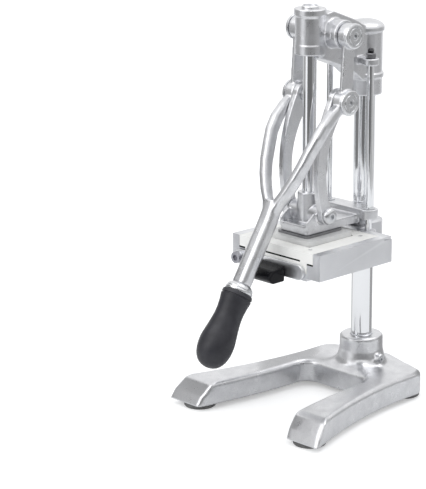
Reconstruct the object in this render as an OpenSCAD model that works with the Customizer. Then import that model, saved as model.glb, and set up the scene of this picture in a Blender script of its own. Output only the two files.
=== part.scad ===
// Bench-top french fry cutter. A splayed cast base carries a column, the column carries a tray with
// the blade cassette and a head above it, and a forked hand lever drives the pusher block down
// through the blades by two curved arms. The origin is on the bench under the column's axis,
// +X is the user's right, -Y is the front and +Z is up. Lengths are millimetres.

/* [Overall] */
// Height from the bench to the top of the piston bushing
stand_h = 430; // [420:2:460]
// Width across the front of the splayed legs
base_w = 220; // [200:2:240]
// Depth of the base, from the leg noses to the rear point
base_d = 230; // [220:2:250]

/* [Base] */
// Distance from the column's axis to the rear point of the base
column_rear = 46.2; // [44:0.2:52]
// Thickness of the base casting
base_t = 25; // [20:0.5:28]
// Width of each leg at its nose
leg_w = 46; // [42:1:50]
// Width of the base at its waist, beside the column
waist_w = 142; // [134:1:152]
// Width of the gap between the legs at its rear end
gap_w = 94; // [84:1:100]
// How far behind the noses the gap ends
gap_d = 148; // [136:1:150]
// Power of the curve by which the legs splay outward
splay_power = 1.8; // [1.4:0.1:2.4]
// How far the top edge of a nose is set back from its foot
nose_set = 21; // [14:1:26]
// Width of the bevel round the top of the base
edge_w = 4; // [2.5:0.5:5]
// Wall of the casting round its hollow underside
base_wall = 9; // [7:0.5:11]
// Thickness of the rubber feet
foot_t = 5; // [4:0.5:8]
// Radius of the rubber feet
foot_r = 17; // [14:0.5:19]

/* [Column and rods] */
// Diameter of the column
column_d = 23; // [21:0.5:25]
// Diameter of the socket that holds the column
socket_d = 47; // [44:0.5:50]
// Height of the socket above the base
socket_h = 32; // [28:0.5:45]
// Diameter of the piston rod
piston_d = 14; // [12:0.5:15]
// Diameter of the two guide rods
guide_d = 7; // [6:0.5:8]
// Distance from the middle to each guide rod
guide_x = 28.65; // [27.5:0.25:31]
// Distance from the column's axis forward to the guide rods
guide_set = 23; // [22:0.5:25]

/* [Tray] */
// Distance from the carriage pivot down to the tray's underside, with the lever down
tray_drop = 53.8; // [50:0.2:70]
// Width of the tray
tray_w = 126; // [120:1:140]
// Depth of the tray, front to back
tray_d = 109; // [106:0.5:114]
// Height of the tray's walls
tray_h = 27.6; // [25:0.2:29]
// Thickness of the tray's walls
tray_wall = 9.7; // [7:0.1:11]
// Distance from the column's axis forward to the tray's rear face
tray_set = 23.8; // [23:0.2:26]

/* [Cutting grid] */
// Number of cells along each side of the grid
cells = 7; // [4:1:7]
// Pitch of the blades
cell = 9.5; // [8:0.25:9.75]
// Thickness of a blade
blade_t = 0.8; // [0.5:0.1:1.2]
// Height of a blade
blade_h = 5; // [4:0.25:5.5]

/* [Lever gear] */
// Distance from the column's axis forward to the head pivot
head_reach = 62.5; // [60:0.5:66]
// Distance from the column's axis forward to the piston's axis
piston_reach = 83.8; // [82:0.2:87]
// Distance between the lever's two pivots
crank_len = 68.4; // [62:0.4:72]
// Length of the curved arms, pivot to pivot
arm_len = 119.6; // [112:0.4:124]
// Lean of the crank behind the vertical with the lever down, in degrees
crank_lean = 4.2; // [2:0.2:7]
// Lean of the hand lever in front of the vertical with the lever down, in degrees
lever_lean = 32.9; // [31:0.5:38]
// Distance from the lower pivot along the lever to where the fork closes
fork_len = 129; // [122:1:134]
// Distance from the lower pivot along the lever to the grip
grip_start = 219.8; // [210:1:240]
// Length of the grip
grip_len = 83; // [75:1:110]
// Largest diameter of the grip
grip_d = 36.5; // [32:0.5:40]
// Diameter of the shank of the lever
shank_d = 17.5; // [15:0.5:19]

/* [Fits] */
// Radial clearance of a pin or rod in its bore
fit = 0.05; // [0.03:0.01:0.08]
// Clearance between neighbours that don't touch
gap = 0.3; // [0.25:0.05:0.4]

/* [Hidden] */
$fn = 48;

// One overrun for every cut
over = 1;

// Places in the base
front_y = column_rear - base_d;
base_top = foot_t + base_t;
waist_share = 0.2;
waist_y = column_rear - base_d * waist_share;
gap_end_y = front_y + gap_d;
gap_r = 16;
nose_r = 5;
nose_turn = 25;
nose_power = 1.5;
side_steps = 8;
rear_r = 16;
rear_turn = 72;
rear_slant = 19;
cavity_share = 0.6;
cavity_h = base_t * cavity_share;
bevel_h_share = 0.8;
bevel_mid_share = 0.35;
corner_limit_share = 0.6;
boss_r = 7;
foot_front_set = 19;
foot_rear_share = 0.7;
foot_set_share = 0.75;
foot_inset = 6;
foot_front_x = (base_w - leg_w) / 2 - foot_inset;
foot_rear_x = waist_w / 2 * foot_rear_share;
foot_rear_y = column_rear - rear_slant - foot_r * foot_set_share;
foot_places = [
    [-foot_front_x, front_y + foot_front_set], [foot_front_x, front_y + foot_front_set],
    [-foot_rear_x, foot_rear_y], [foot_rear_x, foot_rear_y]
];
foot_edge = 1.2;
foot_screw_r = 2;
foot_screw_head_r = 4.3;
foot_screw_head_t = 1.8;
foot_screw_inset = 0.6;
foot_screw_share = 0.55;
foot_screw_len = base_t * foot_screw_share;

// Socket on the base
flare_w = 4;
socket_foot_d = socket_d + 2 * flare_w;
flare_h = socket_h / 2;
socket_edge = 2;
socket_top = base_top + socket_h;
column_seat_share = 0.3;
column_z = foot_t + base_t * column_seat_share;
rib_t = 12;
rib_reach_share = 0.92;
rib_reach = socket_d * rib_reach_share;
rib_h_share = 0.4;
rib_h = flare_h * rib_h_share;
rib_turns = [-44, -136];
set_screw_r = 3;
set_screw_boss_r = 6;
set_screw_proud = 3;
set_screw_reach = socket_foot_d / 2 + set_screw_proud;
set_screw_z = base_top + flare_h / 2;
hex_share = 0.55;

// Head, measured down from the top of the bushing
pivot_drop = 29.5;
pivot_z = stand_h - pivot_drop;
boss_h = 50;
boss_bottom = stand_h - boss_h;
boss_collar_h = 10;
boss_d = 30.6;
boss_collar_d = 31.8;
boss_flange_d = 33;
boss_flange_h = 8;
bush_proud = 3;
bush_d = 18;
side_boss_r = 15;
side_boss_x = 28.8;
side_groove_w = 1.2;
side_groove_depth = 1.4;
side_groove_share = 0.78;
side_groove_x = side_boss_x * side_groove_share;
rear_boss_r = 18;
rear_drop = 28;
rear_boss_h = 75;
rear_top = stand_h - rear_drop;
rear_bottom = rear_top - rear_boss_h;
rear_flange_r = 19.8;
rear_flange_h = 8;
dome_rise = 4;
dome_drop = 4;
dome_steps = 8;
rear_band_r = 19.5;
rear_band_set = 18;
rear_band_z = rear_bottom + rear_band_set;
rear_band_h = 5;
head_arm_w = 26;
head_rise_share = 1.6;
head_fall_share = 1.4;
head_screw_z = rear_bottom + rear_band_h;
lug_drop = 66.2;
lug_z = stand_h - lug_drop;
lug_h = 7.4;
lug_r = 8.6;
lug_bar_w = 9;
nut_h = 5.5;
nut_share = 0.88;
thread_proud = 5;
column_top = rear_top - rear_flange_h;

// Pivots: head pivot, lower lever pivot and carriage pivot, as [y, z]
head_pivot = [-head_reach, pivot_z];
lever_pivot = head_pivot + crank_len * [-sin(crank_lean), -cos(crank_lean)];
arm_angle = asin((piston_reach + lever_pivot[0]) / arm_len);
carriage_pivot = lever_pivot - arm_len * [sin(arm_angle), cos(arm_angle)];

// Layers of the lever gear, from the middle outward
arm_x = 21.5;
arm_t = 6.5;
yoke_x = arm_x + arm_t + gap;
yoke_hub_t = 11.7;
disc_x = yoke_x + yoke_hub_t;
disc_t = 3;
disc_r = 13.25;
head_hub_r = 12.5;
head_hub_x = side_boss_x + gap;
yoke_hub_r = 13;
crank_t = 4.6;
crank_w = 16;
crank_inset = 3.9;
crank_x = yoke_x + crank_inset;
pivot_r = 5;
pivot_seat = 14;
small_pivot_r = 4;
small_pivot_seat = 9;
small_disc_r = 8.75;
small_disc_t = 5.5;
disc_edge = 0.8;
socket_hex_r = 2.6;
socket_hex_depth = 1.8;

// Fork of the lever: shares of its length, of its half width and of its rise
fork_x = 37;
fork_rise = 13.8;
fork_shares = [
    [0.00, 0.925, 0.00], [0.13, 0.925, 0.58], [0.26, 0.925, 0.92], [0.38, 0.885, 1.00],
    [0.50, 0.79, 0.93], [0.63, 0.69, 0.79], [0.75, 0.55, 0.62], [0.87, 0.35, 0.38], [0.95, 0.17, 0.20],
    [1.04, 0.06, 0.05]
];
fork_arm_w = 11;
fork_arm_t = 14;
// A quarter of the lever's section, as shares of half its width and half its thickness
corner_shares = [[1, 0.45], [0.8, 0.85], [0.45, 1]];
// Start of the shank: shares of the fork's length, of its rise and of the shank's diameter
shank_shares = [
    [0.93, 0.24, 0.86], [0.97, 0.16, 0.94], [1.02, 0.08, 0.98], [1.08, 0.02, 1.00], [1.14, 0.00, 1.00]
];
ferrule_r = 14;
ferrule_lip_r = 14.8;
ferrule_h = 9;
ferrule_lip_h = 3.5;
ferrule_step_share = 1.3;
ferrule_top_share = 0.56;
tang_r = 5;
tang_share = 0.6;
tang_len = grip_len * tang_share;
// Grip: shares of its length and of its largest radius
grip_shares = [
    [0.00, 0.84], [0.03, 0.88], [0.09, 0.87], [0.25, 0.78], [0.40, 0.82], [0.55, 0.93],
    [0.66, 1.00], [0.76, 0.99], [0.86, 0.88], [0.94, 0.66], [0.985, 0.36], [1.00, 0.00]
];

// Curved arms
arm_eye_r = 13;
arm_foot_r = 9.5;
bow_front = 24;
bow_w = 13.5;
pin_head_r = 8;
pin_head_t = 3;
// Where an arm's inner edge meets its foot and its eye, as angles round them, in degrees
foot_turn = 77;
eye_turn = -66;
arm_steps = 14;

// Carriage, measured from its pivot
piston_edge = 1;
piston_top = stand_h - piston_edge;
plate_drop = 18.8;
plate_z = carriage_pivot[1] - plate_drop;
plate_t = 9.5;
plate_x = 20;
plate_front_set = 23.2;
plate_rear_set = 2;
plate_front = piston_reach + plate_front_set;
plate_rear = guide_set + plate_rear_set;
plate_r = 4;
tube_r = 11.75;
tube_rise = 21.8;
tube_top = carriage_pivot[1] + tube_rise;
hub_r = 10;
hub_x = arm_x - gap;
gusset_t = 3;
gusset_h = 12.5;
gusset_d = 11;
crossbar_lift = 5.5;
crossbar_z = plate_z + crossbar_lift;
crossbar_h = 10.3;
crossbar_top = crossbar_z + crossbar_h;
crossbar_reach = 9;
crossbar_clear = 1;
crossbar_front = guide_set + crossbar_reach;
crossbar_rear = column_d / 2 + crossbar_clear;
ear_r = 10;
guide_bush_r = 5.5;
guide_bush_lip_r = 6.8;
guide_bush_lip = 1;

// Tray and cassette
tray_z = carriage_pivot[1] - tray_drop;
tray_front = tray_set + tray_d;
tray_top = tray_z + tray_h;
ledge_t = 5;
shoulder_w = 8.5;
shoulder_h = 14.4;
shoulder_top = tray_z + shoulder_h;
rail_d = 11;
rail_drop = 3;
chute_margin = 2.8;
window = cells * cell;
collar_r = 21;
collar_proud = 2.4;
collar_set = 2;
collar_top = tray_top + collar_proud;
collar_z = tray_z + collar_set;
web_w = 36;
tray_boss_r = 8;
holder_x = tray_w / 2 - tray_wall - gap;
holder_z = tray_z + ledge_t;
holder_rear = tray_set + tray_wall + gap;
holder_floor = 1.2;
lower_tier = holder_z + holder_floor;
upper_tier = lower_tier + blade_h;
split_z = upper_tier + blade_h;
slit_w = 70;
slit_h = 1.8;
slit_d = 4;
lower_x = holder_x - shoulder_w;
blade_seat = 4;
notch_w = 12;
notch_h = 3;
notch_d = 1.5;
cover_screw_r = 1.5;
cover_screw_head_r = 2.4;
cover_screw_head_t = 1.6;
cover_screw_side = 5.6;
cover_screw_fore = 4.5;
cover_screw_floor = 3;
cover_screw_x = window / 2 + cover_screw_side;
cover_screw_y = window / 2 + cover_screw_fore;
cover_screw_end = holder_z + cover_screw_floor;

// Pusher block over the grid
block_half = window / 2 - gap - fit;
block_r = 5;
block_lift = 1.8;
block_z = split_z + block_lift;
finger_slack = 0.7;
finger_w = cell - blade_t - 2 * finger_slack;
finger_lift = 0.6;
finger_z = holder_z + finger_lift;
lip_t = 2.5;
lip_set = 2;
screw_r = 2;
screw_head_r = 3.6;
screw_head_t = 2.2;
screw_share = 0.68;
screw_x = plate_x * screw_share;
screw_front_set = 6.5;
screw_rear_set = 22;
screw_bite = 7;
screw_front = plate_front - screw_front_set;
screw_rear = piston_reach - screw_rear_set;
screw_len = lip_t + screw_bite;

// Latch bar across the tray's front
latch_x = holder_x - shoulder_w / 2 + gap;
latch_lift = 5.5;
latch_z = tray_z + latch_lift;
latch_h = 16;
latch_t = 4;
latch_reach = 92;
latch_y = -tray_front - gap;
latch_front = latch_y - latch_t;
latch_bolt_r = 3;
latch_head_r = 6;
latch_head_t = 5;
latch_bolt_seat = 14;
washer_t = 1;
latch_grip_half = 18;
latch_grip_d = 22;
latch_grip_h = 17;
latch_grip_drop = 13;
latch_chamfer = 5;
latch_tab = 3;

// Shapes

// A box between two corners, given as ranges along each axis
module slab(x, y, z)
    translate([x[0], y[0], z[0]])
        cube([x[1] - x[0], y[1] - y[0], z[1] - z[0]]);

// A round bar along X, Y or Z between two ends
module bar_x(r, ends, y, z)
    translate([ends[0], y, z])
        rotate([0, 90, 0]) cylinder(r = r, h = ends[1] - ends[0]);

module bar_y(r, ends, x, z)
    translate([x, ends[1], z])
        rotate([90, 0, 0]) cylinder(r = r, h = ends[1] - ends[0]);

module bar_z(r, ends, x = 0, y = 0)
    translate([x, y, ends[0]]) cylinder(r = r, h = ends[1] - ends[0]);

// A plate with an outline in the Y-Z plane, between two values of X
module side_plate(ends, points)
    translate([ends[0], 0, 0])
        rotate([90, 0, 90]) linear_extrude(ends[1] - ends[0]) polygon(points);

// Its children on the right and again on the left
module both_sides() {
    children();
    mirror([1, 0, 0]) children();
}

// Points on an arc, in equal steps
function arc(centre, r, from, to, steps) = [for (i = [0 : steps])
    let (turn = from + (to - from) * i / steps) centre + r * [cos(turn), sin(turn)]];

// The same points without the two ends
function inner_arc(centre, r, from, to, steps) =
    let (points = arc(centre, r, from, to, steps)) [for (i = [1 : steps - 1]) points[i]];

// Outline of a rectangle with round corners
function round_box(x, y, r) = concat(
    arc([x[1] - r, y[1] - r], r, 0, 90, 5), arc([x[0] + r, y[1] - r], r, 90, 180, 5),
    arc([x[0] + r, y[0] + r], r, 180, 270, 5), arc([x[1] - r, y[0] + r], r, 270, 360, 5));

module round_slab(x, y, z, r)
    translate([0, 0, z[0]]) linear_extrude(z[1] - z[0]) polygon(round_box(x, y, r));

// Points on a bow from a to b that swells by rise to the left of that line
function bow(a, b, rise, steps) =
    let (side = [a[1] - b[1], b[0] - a[0]] / norm(b - a))
    [for (i = [0 : steps]) let (t = i / steps) a + (b - a) * t + side * rise * 4 * t * (1 - t)];

// A closed skin over rings of points that all have the same count, with its own caps where given
module skin(rings, bottom = [], top = []) {
    count = len(rings[0]);
    last = len(rings) - 1;
    points = [for (ring = rings) each ring];
    sides = [for (k = [0 : last - 1], i = [0 : count - 1]) let (j = (i + 1) % count) each [
        [k * count + i, k * count + j, (k + 1) * count + j],
        [k * count + i, (k + 1) * count + j, (k + 1) * count + i]
    ]];
    ends = concat(
        len(bottom) > 0 ? bottom : [[for (i = [count - 1 : -1 : 0]) i]],
        len(top) > 0 ? top : [[for (i = [0 : count - 1]) last * count + i]]);
    polyhedron(points = points, faces = concat(sides, ends));
}

// Base casting

// Half width of the base and of the gap between its legs, at a depth y
function outer_half(y) = waist_w / 2 + (base_w - waist_w) / 2
    * pow(max(0, (waist_y - y) / (waist_y - front_y)), splay_power);
function inner_half(y) = gap_w / 2 + ((base_w - gap_w) / 2 - leg_w)
    * pow(max(0, (gap_end_y - gap_r - y) / (gap_end_y - gap_r - front_y)), splay_power);

// Outer edge of the right half, from the rear point to the nose, and the inner edge point for point
function outer_edge(front, r) = concat(
    [[0, column_rear]],
    arc([waist_w / 2 - rear_r, column_rear - rear_slant - rear_r], rear_r, rear_turn, 0, 5),
    [for (i = [1 : side_steps]) let (y = waist_y + (front + r - waist_y) * i / side_steps)
        [outer_half(y), y]],
    arc([outer_half(front) - r * cos(nose_turn), front + r], r, -nose_turn, -90, 4));
function inner_edge(front, r) = concat(
    [[0, gap_end_y]],
    arc([gap_w / 2 - gap_r, gap_end_y - gap_r], gap_r, 90, 0, 5),
    [for (i = [1 : side_steps]) let (y0 = gap_end_y - gap_r, y = y0 + (front + r - y0) * i / side_steps)
        [inner_half(y), y]],
    arc([inner_half(front) + r * cos(nose_turn), front + r], r, nose_turn - 180, -90, 4));

// Right half of the outline from the rear point round the leg to the gap, then the whole loop
function half_outline(front, r) = let (inner = inner_edge(front, r))
    concat(outer_edge(front, r), [for (i = [len(inner) - 1 : -1 : 0]) inner[i]]);
function outline(front, r) = let (half = half_outline(front, r))
    concat(half, [for (i = [len(half) - 2 : -1 : 1]) [-half[i][0], half[i][1]]]);

// The outline moved inward by a distance, at a height
function inset_ring(loop, inset, z) = let (count = len(loop)) [for (i = [0 : count - 1])
    let (before = loop[(i + count - 1) % count], here = loop[i], after = loop[(i + 1) % count],
        back = (here - before) / norm(here - before), ahead = (after - here) / norm(after - here),
        sum = back + ahead, way = sum / norm(sum), reach = inset / max(corner_limit_share, way * ahead))
    [here[0] + way[1] * reach, here[1] - way[0] * reach, z]];

// A ring of the outer face at a share of the casting's thickness
function outer_ring(share, inset) =
    inset_ring(outline(front_y + nose_set * pow(share, nose_power), nose_r), inset, foot_t + base_t * share);

// Triangles across the base between paired points of a ring, on the right half and on the left
function base_cap(first, count) = let (half = count / 2, pairs = (half + 1) / 2)
    [for (i = [0 : pairs - 2]) each let (
        a = i, b = i + 1, c = half - b, d = half - a,
        e = (count - a) % count, f = count - b, g = half + b, h = half + a)
    [[first + a, first + b, first + c], [first + a, first + c, first + d],
        [first + e, first + g, first + f], [first + e, first + h, first + g]]];

module base_casting() color("silver") {
    cavity = outline(front_y + nose_set, nose_r + base_wall);
    bevel_share = 1 - edge_w * bevel_h_share / base_t;
    count = len(cavity);
    difference() {
        union() {
            skin([
                inset_ring(cavity, base_wall, foot_t + cavity_h),
                inset_ring(cavity, base_wall, foot_t),
                outer_ring(0, 0),
                outer_ring(bevel_share / 2, 0),
                outer_ring(bevel_share, 0),
                outer_ring((1 + bevel_share) / 2, edge_w * bevel_mid_share),
                outer_ring(1, edge_w)
            ], [for (t = base_cap(0, count)) [t[2], t[1], t[0]]], base_cap(6 * count, count));
            for (place = foot_places)
                bar_z(boss_r, [foot_t, foot_t + cavity_h + over], place[0], place[1]);
            bar_z(socket_d / 2, [foot_t, foot_t + cavity_h + over]);
            socket();
        }
        bar_z(column_d / 2 + fit, [column_z, socket_top + over]);
        for (place = foot_places)
            bar_z(foot_screw_r + fit, [foot_t - over, foot_t + foot_screw_len], place[0], place[1]);
        bar_x(set_screw_r + fit, [0, set_screw_reach + over], 0, set_screw_z);
    }
}

// Socket with its flared foot, the boss of its set screw and two ribs
module socket() {
    rotate_extrude() polygon([
        [0, base_top - edge_w], [socket_foot_d / 2, base_top - edge_w], [socket_foot_d / 2, base_top],
        [socket_d / 2, base_top + flare_h], [socket_d / 2, socket_top - socket_edge],
        [socket_d / 2 - socket_edge, socket_top], [0, socket_top]
    ]);
    bar_x(set_screw_boss_r, [0, set_screw_reach], 0, set_screw_z);
    for (turn = rib_turns) rotate([0, 0, turn])
        translate([0, rib_t / 2, 0]) rotate([90, 0, 0]) linear_extrude(rib_t) polygon([
            [0, base_top - edge_w], [rib_reach, base_top - edge_w], [rib_reach, base_top],
            [socket_d / 2, base_top + rib_h], [0, base_top + rib_h]
        ]);
}

module rubber_feet() color("dimgray")
    for (place = foot_places) translate([place[0], place[1], 0]) rotate_extrude() polygon([
        [foot_screw_r + gap, foot_screw_inset + foot_screw_head_t],
        [foot_screw_head_r + gap, foot_screw_inset + foot_screw_head_t], [foot_screw_head_r + gap, 0],
        [foot_r - foot_edge, 0], [foot_r, foot_edge], [foot_r, foot_t], [foot_screw_r + gap, foot_t]
    ]);

module foot_screws() color("gray")
    for (place = foot_places) translate([place[0], place[1], foot_screw_inset]) difference() {
        union() {
            cylinder(r = foot_screw_head_r, h = foot_screw_head_t);
            cylinder(r = foot_screw_r, h = foot_t + foot_screw_len - foot_screw_inset - foot_screw_r);
        }
        translate([0, 0, -over])
            cylinder(r = foot_screw_r * hex_share * 2, h = foot_screw_r / 2 + over, $fn = 6);
    }

module column() color("gainsboro")
    rotate_extrude() polygon([
        [0, column_z], [column_d / 2, column_z], [column_d / 2, column_top - socket_edge],
        [column_d / 2 - socket_edge, column_top], [0, column_top]
    ]);

// Its children turned from the right to the rear
module to_rear() rotate([0, 0, 90]) children();

// Headless screw along X whose point meets the column
module set_screw(tip, end, z) difference() {
    bar_x(set_screw_r, [tip, end], 0, z);
    translate([end - set_screw_r, 0, z]) rotate([0, 90, 0])
        cylinder(r = set_screw_r * hex_share, h = set_screw_r + over, $fn = 6);
}

module socket_screw() color("dimgray")
    set_screw(column_d / 2 + fit, set_screw_reach - gap, set_screw_z);

// Tray

module tray_frame() color("silver") difference() {
    union() {
        slab([-tray_w / 2, tray_w / 2], [-tray_front, -tray_set], [tray_z, tray_top]);
        slab([-lower_x, lower_x], [-tray_front, -tray_front + rail_d], [tray_z - rail_drop, holder_z]);
        bar_z(collar_r, [collar_z, collar_top]);
        slab([-web_w / 2, web_w / 2], [-tray_set - tray_wall / 2, 0], [collar_z, tray_top]);
        both_sides() bar_z(tray_boss_r, [tray_z, tray_top], guide_x, -guide_set);
    }
    slab([-holder_x - gap, holder_x + gap], [-tray_front - over, -holder_rear + gap],
        [shoulder_top, tray_top + over]);
    slab([-lower_x - gap, lower_x + gap], [-tray_front - over, -holder_rear + gap],
        [holder_z, shoulder_top + over]);
    slab([-window / 2 - chute_margin, window / 2 + chute_margin],
        [-piston_reach - window / 2 - chute_margin, -piston_reach + window / 2 + chute_margin],
        [tray_z - rail_drop - over, holder_z + over]);
    bar_z(column_d / 2 + fit, [collar_z - over, collar_top + over]);
    both_sides() bar_z(guide_d / 2 + fit, [tray_z + ledge_t, tray_top + over], guide_x, -guide_set);
    to_rear() bar_x(set_screw_r + fit, [0, collar_r + over], 0, (collar_z + collar_top) / 2);
    bar_y(latch_bolt_r + fit, [-tray_front - over, -tray_front + latch_bolt_seat + over], -latch_x, latch_z);
    both_sides() slab([tray_w / 2 - notch_d, tray_w / 2 + over],
        [-tray_set - notch_w, -tray_set + over], [tray_top - notch_h, tray_top + over]);
}

module tray_screw() color("dimgray")
    to_rear() set_screw(column_d / 2 + fit, collar_r - gap, (collar_z + collar_top) / 2);

// Cassette: a slotted lower half, a cover and two tiers of blades

module window_cut(z) slab([-window / 2, window / 2],
    [-piston_reach - window / 2, -piston_reach + window / 2], z);

module blades(z, slack) for (i = [1 : cells - 1])
    translate([i * cell - window / 2, -piston_reach, 0])
        slab([-blade_t / 2 - slack, blade_t / 2 + slack],
            [-window / 2 - blade_seat - slack, window / 2 + blade_seat + slack], z);

// Its children turned a quarter round the piston's axis
module crosswise() translate([0, -piston_reach, 0]) rotate([0, 0, 90])
    translate([0, piston_reach, 0]) children();

module cover_screw_places() for (x = [-cover_screw_x, cover_screw_x], y = [-cover_screw_y, cover_screw_y])
    translate([x, y - piston_reach, 0]) children();

module blade_holder() color("linen") difference() {
    slab([-lower_x, lower_x], [-tray_front, -holder_rear], [holder_z, split_z]);
    window_cut([holder_z - over, split_z + over]);
    blades([lower_tier, split_z + over], gap / 3);
    crosswise() blades([upper_tier, split_z + over], gap / 3);
    cover_screw_places() bar_z(cover_screw_r + fit, [cover_screw_end - over, split_z + over]);
}

module holder_cover() color("linen") difference() {
    slab([-holder_x, holder_x], [-tray_front, -holder_rear], [split_z, tray_top]);
    window_cut([split_z - over, tray_top + over]);
    slab([-slit_w / 2, slit_w / 2], [-tray_front - over, -tray_front + slit_d],
        [split_z - over, split_z + slit_h]);
    cover_screw_places() {
        bar_z(cover_screw_r + fit, [split_z - over, tray_top + over]);
        bar_z(cover_screw_head_r + fit, [tray_top - cover_screw_head_t, tray_top + over]);
    }
}

module holder_screws() color("lightgray") cover_screw_places() difference() {
    union() {
        bar_z(cover_screw_r, [cover_screw_end, tray_top - gap]);
        bar_z(cover_screw_head_r, [tray_top - cover_screw_head_t, tray_top - gap]);
    }
    bar_z(cover_screw_r * hex_share, [tray_top - cover_screw_head_t, tray_top + over], $fn = 6);
}

module blades_lengthwise() color("whitesmoke") blades([lower_tier, upper_tier], 0);

module blades_crosswise() color("whitesmoke") crosswise() blades([upper_tier, upper_tier + blade_h], 0);

// Latch bar that swings down about its bolt and frees the cassette

module latch_bolt() color("dimgray") difference() {
    union() {
        bar_y(latch_bolt_r, [latch_front - washer_t - latch_head_t, -tray_front + latch_bolt_seat],
            -latch_x, latch_z);
        bar_y(latch_head_r, [latch_front - washer_t - latch_head_t - gap, latch_front - washer_t - gap],
            -latch_x, latch_z);
    }
    bar_y(latch_head_r * hex_share, [latch_front - washer_t - latch_head_t - over,
        latch_front - washer_t - latch_head_t / 2], -latch_x, latch_z, $fn = 6);
}

module latch_washer() color("gray") difference() {
    bar_y(latch_head_r, [latch_front - washer_t - gap, latch_front - gap], -latch_x, latch_z);
    bar_y(latch_bolt_r + fit, [latch_front - washer_t - over, latch_front + over], -latch_x, latch_z);
}

module latch_bar() color("gainsboro") difference() {
    union() {
        slab([-latch_x, latch_reach - latch_x - latch_h / 2], [latch_front, latch_y],
            [latch_z - latch_h / 2, latch_z + latch_h / 2]);
        bar_y(latch_h / 2, [latch_front, latch_y], -latch_x, latch_z);
        bar_y(latch_h / 2, [latch_front, latch_y], latch_reach - latch_x - latch_h / 2, latch_z);
    }
    bar_y(latch_bolt_r + fit, [latch_front - over, latch_y + over], -latch_x, latch_z);
}

module latch_grip() color("black")
    side_plate([-latch_grip_half, latch_grip_half], [
        [latch_front, latch_z - latch_grip_drop], [latch_front, latch_z + latch_grip_h - latch_grip_drop],
        [latch_front - latch_grip_d + latch_chamfer, latch_z + latch_grip_h - latch_grip_drop - latch_tab],
        [latch_front - latch_grip_d, latch_z + latch_grip_h - latch_grip_drop - latch_tab - latch_chamfer],
        [latch_front - latch_grip_d, latch_z - latch_grip_drop + latch_chamfer],
        [latch_front - latch_grip_d + latch_chamfer, latch_z - latch_grip_drop]
    ]);

// Head

module head_casting() color("silver") difference() {
    union() {
        translate([0, -piston_reach, 0]) rotate_extrude() polygon([
            [0, boss_bottom], [boss_collar_d / 2, boss_bottom],
            [boss_collar_d / 2, boss_bottom + boss_collar_h],
            [boss_d / 2, boss_bottom + boss_collar_h + boss_collar_d / 2 - boss_d / 2],
            [boss_d / 2, stand_h - bush_proud - boss_flange_h],
            [boss_flange_d / 2, stand_h - bush_proud - boss_flange_h + boss_flange_d / 2 - boss_d / 2],
            [boss_flange_d / 2, stand_h - bush_proud], [0, stand_h - bush_proud]
        ]);
        bar_x(side_boss_r, [-side_boss_x, side_boss_x], head_pivot[0], head_pivot[1]);
        side_plate([-head_arm_w / 2, head_arm_w / 2], [
            [-piston_reach, boss_bottom], [-piston_reach, stand_h - bush_proud - boss_flange_h],
            [head_pivot[0], stand_h - bush_proud - boss_flange_h / 2],
            [-rear_boss_r * head_rise_share, rear_top + rear_flange_h], [0, rear_top - rear_flange_h],
            [0, rear_band_z], [-rear_boss_r, rear_band_z],
            [-rear_boss_r * 2, boss_bottom - side_boss_r * head_fall_share],
            [head_pivot[0] - side_boss_r, boss_bottom - rear_band_h]
        ]);
        rotate_extrude() polygon([
            [0, rear_bottom], [rear_boss_r, rear_bottom],
            [rear_boss_r, rear_band_z], [rear_band_r, rear_band_z],
            [rear_band_r, rear_band_z + rear_band_h], [rear_boss_r, rear_band_z + rear_band_h],
            [rear_boss_r, rear_top - rear_flange_h], [rear_flange_r, rear_top - rear_flange_h],
            each [for (i = [0 : dome_steps]) let (turn = 90 * i / dome_steps)
                [rear_flange_r * cos(turn), rear_top - dome_drop + (dome_drop + dome_rise) * sin(turn)]]
        ]);
        slab([-guide_x, guide_x], [-guide_set - lug_bar_w / 2, -guide_set + lug_bar_w / 2],
            [lug_z, lug_z + lug_h]);
        both_sides() bar_z(lug_r, [lug_z, lug_z + lug_h], guide_x, -guide_set);
    }
    bar_z(bush_d / 2 + fit, [boss_bottom - rear_band_h - over, stand_h], 0, -piston_reach);
    bar_z(column_d / 2 + fit, [rear_bottom - over, column_top]);
    both_sides() bar_z(guide_d / 2 + fit, [lug_z - over, lug_z + lug_h + over], guide_x, -guide_set);
    both_sides() bar_x(pivot_r + fit, [side_boss_x - pivot_seat, side_boss_x + over],
        head_pivot[0], head_pivot[1]);
    both_sides() difference() {
        bar_x(side_boss_r + over, [side_groove_x, side_groove_x + side_groove_w],
            head_pivot[0], head_pivot[1]);
        bar_x(side_boss_r - side_groove_depth, [0, side_boss_x], head_pivot[0], head_pivot[1]);
    }
    to_rear() bar_x(set_screw_r + fit, [0, rear_boss_r + over], 0, head_screw_z);
}

module head_screw() color("dimgray")
    to_rear() set_screw(column_d / 2 + fit, rear_boss_r - gap, head_screw_z);

module piston_bushing() color("darkgray") difference() {
    bar_z(bush_d / 2, [boss_bottom, stand_h], 0, -piston_reach);
    bar_z(piston_d / 2 + fit, [boss_bottom - over, stand_h + over], 0, -piston_reach);
}

module guide_rods() color("gainsboro") both_sides()
    bar_z(guide_d / 2, [tray_z + ledge_t, lug_z + lug_h + nut_h + thread_proud], guide_x, -guide_set);

module guide_nuts() color("black") both_sides()
    translate([guide_x, -guide_set, lug_z + lug_h]) difference() {
        cylinder(r = guide_d * nut_share, h = nut_h, $fn = 6);
        translate([0, 0, -over]) cylinder(r = guide_d / 2 + fit, h = nut_h + 2 * over);
    }

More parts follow.
